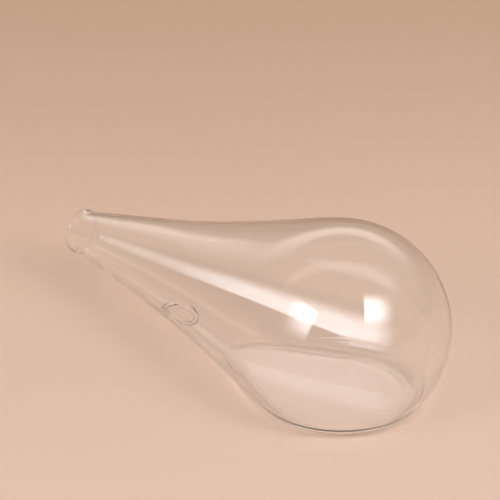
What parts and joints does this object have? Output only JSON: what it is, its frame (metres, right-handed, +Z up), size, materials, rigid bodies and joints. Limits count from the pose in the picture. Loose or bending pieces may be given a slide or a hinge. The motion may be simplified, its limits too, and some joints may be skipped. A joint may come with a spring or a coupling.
{
  "type": "retort flask",
  "caption": "Pear-shaped blown clear-glass flask lying on a flattened side, with a tapering open neck, a fire-polished mouth and a round beaded side port under the neck.",
  "frame": {"origin": "point on the flat resting face straight below the middle of the bulb", "axes": "+Z up from the resting face, -X towards the open mouth, +X towards the round end of the bulb"},
  "size_m": [0.2103, 0.1, 0.085],
  "materials": {
    "clear_glass": "clear blown borosilicate glass, smooth",
    "fire_polished_glass": "clear glass rounded and thickened in the flame"
  },
  "bodies": {
    "root": {"bulb": "clear_glass", "base_panel": "clear_glass", "neck": "clear_glass", "mouth_rim": "fire_polished_glass", "side_port_rim": "fire_polished_glass"}
  },
  "joints": []
}
